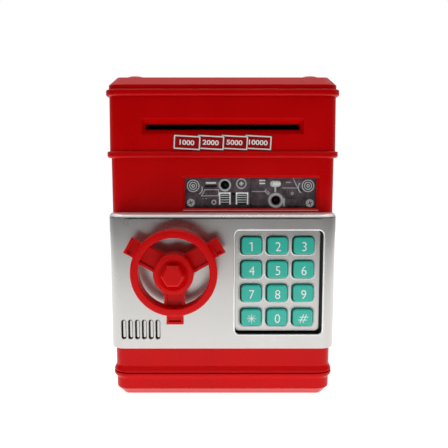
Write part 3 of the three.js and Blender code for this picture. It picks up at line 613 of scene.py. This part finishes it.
def round_key(low, high, gap, more_left=0.0):
    """A key's outline, grown by a gap."""
    return rounded(low.x - gap - more_left, high.x + gap, low.z - gap, high.z + gap, 2 + gap, 5)


def key_holes(y0, y1, gap=0.45, more_left=0.0):
    return [along_y("hole", round_key(*key, gap, more_left), y0, y1, silver_plastic) for key in KEYS.values()]


def vent_middles():
    return [VENT_X + i * VENT_PITCH for i in range(VENTS)]


def door_ring(z, tuck):
    """The door's outline at a height. tuck is 0 on the flat face and 1 at the very top or bottom."""
    face_round, side_round, taper, steps = 2.3, 1.2, 0.15, 10
    w = door_high.x - taper * (door_high.z - z) / (door_high.z - door_low.z) - side_round * tuck
    f = FRONT + face_round * tuck
    points = [(w, door_high.y)]
    for i in range(steps + 1):
        angle = i / steps * math.pi / 2
        points.append((w - CORNER + CORNER * math.cos(angle), f + CORNER - CORNER * math.sin(angle)))
    return [(x, y, z) for x, y in points] + [(-x, y, z) for x, y in reversed(points)]


def vent_cuts():
    """Slots with a small bevel at the door's face."""
    cuts, bevel = [], 0.25
    for x in vent_middles():
        rings = []
        for y, d in ((FRONT - PAST, bevel), (FRONT, bevel), (FRONT + bevel, 0), (FRONT + VENT_DEEP, 0)):
            half = VENT_HALF + d
            outline = rounded(x - half, x + half, VENT_LOW - d, VENT_HIGH + d, VENT_HALF - 0.01 + d, 5)
            rings.append([(a, y, b) for a, b in outline])
        cuts.append(loft("vent", rings, silver_plastic))
    return cuts


def door_skin():
    back, width, inner, face_round, steps = door_high.y, door_high.x, FRONT + WALL, 2.3, 5
    turns = [i / steps * math.pi / 2 for i in range(steps + 1)]
    rings = []
    for t in turns:
        rings.append(door_ring(door_low.z + face_round * (1 - math.sin(t)), 1 - math.cos(math.pi / 2 - t)))
    for t in turns:
        rings.append(door_ring(door_high.z - face_round * (1 - math.sin(t)), 1 - math.cos(t)))
    skin = loft("door_skin", rings, silver_plastic)
    boolean(skin, [block("cavity", -width + WALL + 2.5, 59.4, inner, back + PAST, door_low.z + WALL,
                         door_high.z - WALL, black_plastic)])
    x0, x1, z0, z1 = PAD
    boolean(skin, [block("pocket", x0 - 1.7, 59.9, inner - 0.5, WELL_BACK, z0 - 1.7, z1 + 1.7, black_plastic),
                   rod("boss", "y", (WHEEL_X, WHEEL_Z), 8, inner - 0.5, -35.4, black_plastic)], "UNION")
    tools = [along_y("opening", rounded(x0, x1, z0, z1, 3), FRONT - PAST, WELL_FRONT, silver_plastic),
             rod("bearing", "y", (WHEEL_X, WHEEL_Z), 4.3, FRONT - PAST, back, silver_plastic),
             block("crease", -55, 56, FRONT - PAST, FRONT + 0.3, *CREASE, silver_plastic)]
    tools += key_holes(WELL_FRONT - PAST, back) + vent_cuts()
    notch, room = 2.45, 4.4
    for x, y, z in hinge_pins():
        tools += [block("notch", x - notch, width + PAST, y - notch, back + PAST, z - room, z + room,
                        black_plastic),
                  rod("bore", "z", (x, y), 1.2, z - 8.5, z + 8.5, black_plastic, 16)]
    boolean(skin, tools)

    def in_shadow(c, n):
        """True in the keypad's well but for its right wall, in the vents and in the crease, where faces are
        painted black: painted shade in the vents and the crease, and in the well partly its own dark wall and
        partly painted shade.
        """
        in_pad = x0 - 0.1 < c.x < x1 + 0.1 and z0 - 0.1 < c.z < z1 + 0.1 and n.x > -0.5
        in_vents = c.x < VENT_X + VENTS * VENT_PITCH and VENT_LOW - 0.4 < c.z < VENT_HIGH + 0.4
        in_vents = in_vents and c.y < FRONT + VENT_DEEP + 0.1
        in_crease = CREASE[0] - 0.1 < c.z < CREASE[1] + 0.1 and abs(c.x) < 56.1
        in_crease = in_crease and FRONT + 0.05 < c.y < FRONT + 0.35
        return in_crease or (FRONT + 0.2 < c.y < WELL_BACK + 0.1 and (in_pad or in_vents))

    # The faces in_shadow picks are painted black: painted shade, and in the keypad's well partly its own dark
    # wall.
    paint(skin, black_plastic, in_shadow)
    # Upward faces above the crease are painted lighter: a painted highlight along the door's top edge.
    paint(skin, painted_highlight_silver, lambda c, n: c.z > CREASE[1] and n.z > 0.25 and n.y < 0.1)
    # Silver tongues in the vents, set to the upper right so that the black painted shade shows at their left
    # and bottom.
    tongues = []
    for x in vent_middles():
        tongues.append(soft_plate("tongue", x - VENT_HALF + 1.0, x + VENT_HALF - 0.15, VENT_LOW + 0.9,
                                  VENT_HIGH - 0.15, 0.75, FRONT + 0.25, FRONT + VENT_DEEP, 0.35,
                                  silver_plastic))
    add(merged("vent_tongues", tongues), "door", "silver_plastic")
    add(skin, "door", "silver_plastic", "door_shell")
    # A bead round the keypad's opening in the lighter silver: a painted highlight on its lip.
    lip = rounded(x0 - 0.15, x1 + 0.15, z0 - 0.15, z1 + 0.15, 3.2, 8)
    add(beading("keypad_lip", lip, FRONT + 0.1, 0.5, painted_highlight_silver), "door", "silver_plastic")


def keypad_plate():
    """The plate in the keypad's well, with a thin rim round each key, lightened as a painted highlight."""
    x0, x1, z0, z1 = PAD
    plate = soft_plate("keypad_plate", x0 + 0.1, x1 - 1.5, z0 + 1.0, z1 - 0.1, 2.8, PLATE_FRONT, WELL_FRONT,
                       0.35, silver_plastic)
    boolean(plate, key_holes(PLATE_FRONT - PAST, WELL_FRONT + PAST, 0.5, 0.45))
    rims = []
    for key in KEYS.values():
        rims.append(beading("rim", round_key(*key, 1.0, 0.45), PLATE_FRONT + 0.05, 0.4, painted_highlight_silver))
    add(merged("keypad_plate", [plate] + rims), "door", "silver_plastic")


def star_sign(x, z, y, size):
    bars, half, thick = [], size / 2, 0.14
    for i in range(4):
        angle = i * math.pi / 4
        a, b = Vector((math.cos(angle), math.sin(angle))), Vector((-math.sin(angle), math.cos(angle)))
        corners = ((-half, -thick), (half, -thick), (half, thick), (-half, thick))
        outline = [(x + a.x * u + b.x * v, z + a.y * u + b.y * v) for u, v in corners]
        bars.append(along_y("bar", outline, y + 0.004 * i, y + 0.1, white_print))
    return bars


def hash_sign(x, z, y, size):
    bars, half, thick, slant = [], size / 2, 0.2, 0.42
    upright = ((-thick, -half), (thick, -half), (thick, half), (-thick, half))
    for i, side in enumerate((-1, 1)):
        off = side * size * 0.17
        level = ((-half, off - thick), (half, off - thick), (half, off + thick), (-half, off + thick))
        for corners, shift, lift in ((upright, off, 0), (level, 0, 0.008)):
            outline = [(x + shift + slant * v + u, z + v) for u, v in corners]
            bars.append(along_y("bar", outline, y + lift + 0.004 * i, y + 0.1, white_print))
    return bars


def key_caps():
    for label, (low, high) in KEYS.items():
        name = "key_" + label
        cap = soft_plate(name + "_cap", low.x, high.x, low.z, high.z, 2, low.y, high.y, 0.75, teal_plastic)
        x, z, face = (low.x + high.x) / 2 + 0.2, (low.z + high.z) / 2 - 0.55, low.y - 0.04
        if label == "star":
            signs = star_sign(x, z, face, 5.5)
        elif label == "hash":
            signs = hash_sign(x, z, face, 5)
        else:
            signs = [lettering("digit", label, x, z, face, 5.6, white_print, -0.05, 0.92)]
        if label == "1":
            flag = ((x - 0.3, z + 2.7), (x - 1.6, z + 1.85), (x - 1.45, z + 1.5), (x - 0.2, z + 2.15))
            signs.append(along_y("flag", flag, face + 0.02, face + 0.1, white_print))
        add(merged(name + "_cap", [cap] + signs), "button_" + label, "teal_plastic", name)


door_skin()
keypad_plate()
key_caps()


# ---------------------------------------------------------------- handwheel
def radial(name, angle, r0, r1, half, y0, y1, soft=0.4, taper=0.0):
    """A bar along a radius of the wheel with softened edges. taper widens its outer end."""
    a = Vector((math.cos(math.radians(angle)), math.sin(math.radians(angle))))
    b = Vector((-a.y, a.x))
    rings = []
    for y, d in ((y0, soft), (y0 + 0.3 * soft, 0.3 * soft), (y0 + soft, 0), (y1, 0)):
        inner, outer = half - d, half + taper - d
        corners = ((r0 + d, -inner), (r1 - d, -outer), (r1 - d, outer), (r0 + d, inner))
        rings.append([(WHEEL_X + a.x * u + b.x * v, y, WHEEL_Z + a.y * u + b.y * v) for u, v in corners])
    return loft(name, rings, red_plastic)


def handwheel():
    outer, inner, hub_radius, reach, soft = 23.8, 19.5, 11, 29.7, 0.9
    rim_front, rim_back, hub_front, hub_back, neck = -62, -52, place_of("handwheel")[0].y, -51, 6.5
    spoke_front, channel_floor, tab_front, dimple_floor = -58, -56.5, -57.2, -55.8
    centre = (WHEEL_X, 0, WHEEL_Z)
    middle = (outer + inner) / 2
    profile = filleted([(middle, rim_front, 0), (outer, rim_front, soft), (outer, rim_back, soft),
                        (inner + 0.3, rim_back, soft), (inner, rim_front, 0.7), (middle, rim_front, 0)])[:-1]
    wheel = turned("handwheel", profile, red_plastic, 96, "y", centre)
    hub = filleted([(0.001, hub_front + 0.6, 0), (6.4, hub_front + 0.6, 0.4), (8.6, hub_front, 0.6),
                    (hub_radius, hub_front, 0.9), (hub_radius, hub_back, 0.5), (neck, hub_back, 0.4),
                    (neck, FRONT - 0.3, 0), (0.001, FRONT - 0.3, 0)])
    parts = [turned("hub", hub, red_plastic, 72, "y", centre)]
    tools = [rod("bore", "y", (WHEEL_X, WHEEL_Z), 4.3, hub_front + 1.5, FRONT + PAST, red_plastic)]
    before = hub_front - PAST
    for angle in (30, 150, 270):
        parts += [radial("spoke", angle, 6, inner + 1, 5.75, spoke_front, rim_back + 0.5),
                  radial("tab", angle, inner + 2, reach, 4.5, tab_front, rim_back, 0.6, 0.25)]
        tools += [radial("channel", angle, hub_radius - 0.4, inner + 0.05, 4.2, before, channel_floor, 0),
                  radial("dimple", angle, 25.4, 28.2, 3.3, before, dimple_floor, 0, 0.2)]
    boolean(wheel, parts, "UNION")
    boolean(wheel, tools)
    add(wheel, "wheel", "red_plastic", "handwheel")


def hub_cap():
    low, high = place_of("hub_cap")
    across_flats, face = 11, low.y
    corner, rings = across_flats / math.sqrt(3), []
    for y, d in ((face, 1.15), (face + 0.12, 0.95), (face + 0.85, 0.18), (face + 1.1, 0), (high.y, 0)):
        reach, turns = corner - d, [i * math.pi / 3 for i in range(6)]
        rings.append([(WHEEL_X + reach * math.cos(t), y, WHEEL_Z + reach * math.sin(t)) for t in turns])
    cap = loft("hub_cap", rings, red_plastic)
    edges = cap.modifiers.new("edges", "BEVEL")
    edges.width, edges.segments, edges.angle_limit = 0.35 * MM, 3, math.radians(40)
    add(settle(cap), "wheel", "red_plastic", "hub_cap")


handwheel()
hub_cap()


# ---------------------------------------------------------------- window panel
PANEL_LOW, PANEL_HIGH = place_of("window_panel")
FACE = PANEL_LOW.y
SUNK = 0.1  # how far a raised detail reaches into the face under it


# A raised detail's lift is its height over its foot, and step is how far its foot stands off the panel.
def raised_ring(x, z, outer, inner, lift=0.8, step=0.0):
    y = FACE - step
    profile = [(outer, y + SUNK), (outer, y - 0.5 * lift), ((outer + inner) / 2 + 0.1, y - lift),
               (inner, y - 0.5 * lift), (inner, y + SUNK)]
    outline = filleted([(a, b, 0.15) for a, b in profile], 2)
    return turned("ring", outline, chrome_with_painted_glow, 32, "y", (x, 0, z))


def raised_arc(x, z, radius, start, end, half=0.3, lift=0.6):
    """A raised curved line about (x, z)."""
    rings, steps = [], 12
    for i in range(steps + 1):
        t = math.radians(start + (end - start) * i / steps)
        c, s = math.cos(t), math.sin(t)
        corners = ((radius - half, FACE + SUNK), (radius - half, FACE - lift), (radius + half, FACE - lift),
                   (radius + half, FACE + SUNK))
        rings.append([(x + r * c, a, z + r * s) for r, a in corners])
    return loft("arc", rings, chrome_with_painted_glow)


def bar(x0, z0, x1, z1, thick, material, lift=0.5, step=0.0):
    """A raised straight line between two points."""
    y, slope = FACE - step, 0.1
    start, end = Vector((x0, z0)), Vector((x1, z1))
    along = (end - start).normalized()
    side = Vector((-along.y, along.x)) * thick / 2
    corners = (start - side, end - side, end + side, start + side)
    shrink = [c + ((start + end) / 2 - c).normalized() * slope for c in corners]
    rings = [[(c.x, y + SUNK, c.y) for c in corners], [(c.x, y - lift + slope, c.y) for c in corners],
             [(c.x, y - lift, c.y) for c in shrink]]
    return loft("bar", rings, material)


def pad(x0, x1, z0, z1, material, lift=0.6, radius=0.4, step=0.0):
    y = FACE - step
    return soft_plate("pad", x0, x1, z0, z1, radius, y - lift, y + SUNK, min(0.25, lift / 2), material, 3)


def corner_bosses():
    """Round bosses of stepped rings in the upper corners, over a black disc that shows between the rings as
    painted shade, each with an arc beside it.
    """
    parts = []
    profile = [(0.001, FACE + SUNK), (0.001, FACE - 0.5), (3.5, FACE - 0.3), (3.6, FACE + SUNK)]
    for x, z in ((-17.3, 125.9), (50.2, 125.9)):
        # A black disc under the rings: painted shade in the gaps between them.
        parts.append(turned("disc", profile, black_plastic, 32, "y", (x, 0, z)))
        parts += [raised_ring(x, z, outer, outer - 0.65, 0.9, 0.3) for outer in (3.7, 2.4, 1.1)]
    return parts + [raised_arc(-15.6, 124.2, 3.6, -60, 20), raised_arc(48.4, 125.0, 3.9, 140, 235)]


def corner_screws():
    """Cross-head screws in the lower corners, with black bars on each head as painted shade for the cross
    recess.
    """
    parts, reach = [], 1.4
    profile = filleted([(0.001, FACE - 0.9, 0), (1.7, FACE - 0.8, 0.5), (2.4, FACE - 0.3, 0.4),
                        (2.4, FACE + SUNK, 0), (0.001, FACE + SUNK, 0)])
    for x, z in ((-18.8, 115.9), (51.5, 115.6)):
        parts.append(turned("screw", profile, chrome_with_painted_glow, 32, "y", (x, 0, z)))
        # Black bars across each head: painted shade for the cross recess.
        for turn in (20, 110):
            c, s = reach * math.cos(math.radians(turn)), reach * math.sin(math.radians(turn))
            parts.append(bar(x - c, z - s, x + c, z + s, 0.55, black_plastic, 0.1, 0.85))
    return parts


def dial():
    """A thin ring with a diamond in it."""
    x, z, half = 11.0, 127.2, 1.4
    diamond = [(x - half, z), (x, z - half), (x + half, z), (x, z + half)]
    return [raised_ring(x, z, 3.1, 2.4, 0.7), along_y("diamond", diamond, FACE - 0.4, FACE + SUNK, chrome_with_painted_glow)]


def louvres():
    """Two louvred vents in chrome frames with a strong painted glow, a black pad behind each vent's slats as
    painted shade, and a dark block between them.
    """
    parts, low, high = [], 114.9, 121.6
    for x0, x1 in ((-1.7, 4.3), (8.2, 14.7)):
        parts += [bar(x, low, x, high, 0.8, chrome_with_strong_painted_glow, 0.9) for x in (x0, x1)]
        parts += [bar(x0 - 0.4, high, x1 + 0.4, high, 0.9, chrome_with_strong_painted_glow, 0.9),
                  pad(x0 + 0.4, x1 - 0.4, low + 0.1, high - 0.3, black_plastic, 0.15, 0.1)]
        parts += [bar(x0 + 0.7, z, x1 - 0.7, z, 0.55, chrome_with_painted_glow, 0.5, 0.1) for z in (116.2, 117.6, 119.0, 120.3)]
    parts += [pad(5.1, 7.5, 116.5, 121.8, black_plastic, 0.9, 0.3), pad(5.0, 7.6, 114.2, 115.6, dark_panel)]
    return parts + [bar(5.2, z, 7.4, z, 0.3, dark_panel, 0.3, 0.85) for z in (117.5, 118.7, 119.9)]


def left_details():
    """A long bar, an outlined trapezoid with fins in it, two posts and a stud."""
    parts = [bar(-9.9, 127.6, -3.9, 127.6, 0.9, chrome_with_strong_painted_glow, 0.6),
             pad(-10.4, -3.3, 124.9, 126.4, black_plastic, 0.4)]
    outline = ((-12.6, 119.9), (-10.4, 123.6), (-2.4, 123.6), (-2.4, 120.1), (-12.6, 119.9))
    parts += [bar(*a, *b, 0.4, chrome_with_painted_glow, 0.45) for a, b in zip(outline, outline[1:])]
    parts += [bar(x, 121.1, x + 1.1, 122.6, 0.35, dark_panel, 0.7) for x in (-9.8, -7.9, -6.0, -4.3)]
    posts = (-12.1, -10.4)
    parts += [pad(x, x + 1.1, 114.5, 118.2, dark_panel, 1.0, 0.3) for x in posts]
    parts += [bar(x + 0.2, 118.3, x + 0.9, 118.3, 0.5, chrome_with_painted_glow, 0.5, 0.3) for x in posts]
    return parts + [raised_ring(-5.2, 116.2, 1.5, 0.8, 0.6)]


def right_details():
    """A seam, plates, a pipe that ends in a capsule, struts and ribs."""
    parts = [bar(16.6, 112.2, 16.6, 131.4, 0.35, black_plastic, 0.35),
             pad(17.2, 25.2, 114.3, 122.0, dark_panel, 0.7), bar(17.2, 122.5, 25.2, 122.5, 0.4, chrome_with_painted_glow)]
    parts += [bar(21.6, z, 25.0, z, 0.7, chrome_with_strong_painted_glow, 0.6) for z in (127.3, 129.0)]
    parts += [pad(27.9, 34.2, 125.3, 128.9, chrome_with_painted_glow, 1.2, 1.6),
              pad(29.6, 34.0, 126.3, 127.9, chrome_with_strong_painted_glow, 0.3, 0.6, 1.1)]
    parts += [bar(31.0, 122.2, 31.0, 125.4, 1.1, chrome_with_painted_glow, 0.7),
              bar(24.9, 123.4, 27.4, 120.9, 1.7, chrome_with_painted_glow, 1.1),
              bar(25.8, 122.7, 26.5, 123.4, 0.4, black_plastic, 0.4, 0.9)]
    parts += [bar(34.9, 124.6, 44.2, 124.6, 0.35, chrome_with_painted_glow, 0.45), bar(41.4, 130.4, 44.2, 124.6, 0.4, chrome_with_painted_glow),
              pad(36.0, 40.6, 126.4, 129.3, dark_panel, 0.4),
              bar(37.2, 127.9, 40.0, 127.9, 0.5, chrome_with_painted_glow, 0.3, 0.3)]
    parts += [pad(37.3, 46.0, 114.2, 118.3, dark_panel, 0.8, 0.3), bar(36.2, 113.8, 36.2, 118.6, 0.9, chrome_with_painted_glow)]
    parts += [bar(x, 119.6, x, 123.4, 0.3, dark_panel, 0.6) for x in (38.0, 39.6, 41.2, 42.8)]
    return parts + [raised_ring(41.0, 121.4, 0.9, 0.4, 0.5, 0.3)]


def window_panel():
    low, high, margin = PANEL_LOW, PANEL_HIGH, 1
    outline = rounded(low.x, high.x, low.z, high.z, 1)
    panel = along_y("window_panel", outline, FACE, high.y, dark_panel)
    lamps = []
    for lamp in ("green_led", "red_led"):
        lamp_low, lamp_high = place_of(lamp)
        lamps.append(((lamp_low.x + lamp_high.x) / 2, (lamp_low.z + lamp_high.z) / 2))
    holes = [rod("hole", "y", lamp, 2.6, FACE - PAST, high.y + PAST, black_plastic) for lamp in lamps]
    boolean(panel, holes)

    def behind_the_face(c, n):
        """True for the walls of the lamp holes, which are painted black as painted shade."""
        inside = low.x + margin < c.x < high.x - margin and low.z + margin < c.z < high.z - margin
        return inside and FACE + 0.1 < c.y < high.y - 0.1

    # The lamp holes' walls are painted black as painted shade.
    paint(panel, black_plastic, behind_the_face)
    parts = [panel, raised_ring(*lamps[0], 3.7, 2.6, 1.3), raised_ring(*lamps[1], 4.5, 3.0, 1.3)]
    parts += corner_bosses() + corner_screws() + dial() + louvres() + left_details() + right_details()
    add(merged("window_panel", parts), "housing", "dark_panel", "window_panel")


window_panel()

# ---------------------------------------------------------------- CAD pieces that keep their shape
FINISHES = {"red_plastic": red_plastic, "silver_plastic": silver_plastic, "teal_plastic": teal_plastic,
            "black_plastic": black_plastic, "dark_panel": dark_panel, "clear_plastic": clear_plastic,
            "steel": steel, "roller_rubber": roller_rubber, "grey_rubber": grey_rubber, "nylon": nylon,
            "circuit_board": circuit_board, "battery_wrap": battery_wrap, "green_lens": green_lens,
            "red_lens": red_lens}


def carried_over():
    """Every CAD node still showing gets its slot's finish and softened edges."""
    slots = {part["node"]: part["material_slot"] for part in frame["record"]["subparts"]}
    for name, obj in frame["nodes"].items():
        if obj.hide_render:
            continue
        if not obj.material_slots:
            obj.data.materials.append(None)
        for slot in obj.material_slots:
            slot.material = FINISHES[slots[name]]
        edges = obj.modifiers.new("edges", "BEVEL")
        smallest = min((high - low) for low, high in zip(*place_of(name)))
        edges.width, edges.segments = min(0.25, smallest / 8) * MM, 2
        edges.limit_method, edges.angle_limit = "ANGLE", math.radians(35)
        edges.harden_normals = False
        even_normals(obj)


carried_over()


# ---------------------------------------------------------------- stage
def floor():
    """A pale round floor. Its heights and its middle are measured from the CAD frame's origin."""
    radius, centre_y, top, bottom = 650, 80, -0.02, -8.0
    disc = circle(0, centre_y - SHIFT.y, radius, 96)
    white = (1.0, 1.0, 1.0, 1.0)
    pale = surface("floor", (0.36, 0.36, 0.36, 1.0), (0.6, 0.75), patches=6, grain=300, mottle=0.01,
                   relief=0.02, sockets=[("Emission Color", white), ("Emission Strength", 0.94)])
    loft("floor", [[(x, y, z - SHIFT.z) for x, y in disc] for z in (bottom, top)], pale)


def studio():
    """Soft light from above and from behind, over a white backdrop."""
    world = bpy.data.worlds.new("studio")
    bpy.context.scene.world = world
    world.use_nodes = True
    tree, white = world.node_tree, (1.0, 1.0, 1.0, 1.0)
    tree.nodes.clear()
    way = node(tree, "ShaderNodeTexCoord").outputs["Generated"]
    parts = node(tree, "ShaderNodeSeparateXYZ", [(0, way)]).outputs
    above = spread(tree, parts["Z"], 0.3, 0.8, 0.03, 0.8, interpolation_type="SMOOTHSTEP")
    behind = spread(tree, parts["Y"], -0.2, 0.6, 0.0, 0.25, interpolation_type="SMOOTHSTEP")
    power = worked(tree, "ADD", above, behind)
    glow = node(tree, "ShaderNodeBackground", [("Color", white), ("Strength", power)]).outputs[0]
    backdrop = node(tree, "ShaderNodeBackground", [("Color", white), ("Strength", 1.0)]).outputs[0]
    seen = node(tree, "ShaderNodeLightPath").outputs["Is Camera Ray"]
    both = node(tree, "ShaderNodeMixShader", [(0, seen), (1, glow), (2, backdrop)]).outputs[0]
    node(tree, "ShaderNodeOutputWorld", [("Surface", both)])


def lights():
    bank, base = Vector((0, 0, 0.09)), Vector((0, -0.03, 0.01))
    for name, place, aim, width, depth, watts in (
            ("overhead", (0, 0.35, 1.1), bank, 1.1, 1.1, 4.2),
            ("left_box", (-0.9, -0.35, 0.75), bank, 0.7, 0.7, 0.2),
            ("right_box", (0.9, -0.35, 0.75), bank, 0.7, 0.7, 0.2),
            ("low_strip", (0, -0.15, 0.006), base, 0.3, 0.02, 0.07)):
        light = bpy.data.lights.new(name, "AREA")
        light.shape, light.size, light.size_y, light.energy = "RECTANGLE", width, depth, watts
        lamp = bpy.data.objects.new(name, light)
        bpy.context.scene.collection.objects.link(lamp)
        lamp.location = place
        lamp.rotation_euler = (aim - Vector(place)).to_track_quat("-Z", "Y").to_euler()
        lamp.visible_glossy = lamp.visible_camera = name != "low_strip"


def camera():
    """In front of the bank, looking slightly down."""
    view = bpy.data.objects.new("camera", bpy.data.cameras.new("camera"))
    bpy.context.scene.collection.objects.link(view)
    view.data.lens, view.data.sensor_width = 46.2, 36
    view.location = (0.0008, -0.367 + SHIFT.y * MM, 0.1454 + SHIFT.z * MM)
    view.rotation_euler = (math.radians(90 - 7.1), 0, 0)
    bpy.context.scene.camera = view
    bpy.context.scene.view_settings.view_transform = "Standard"


floor()
studio()
lights()
camera()

bpy.context.view_layer.update()
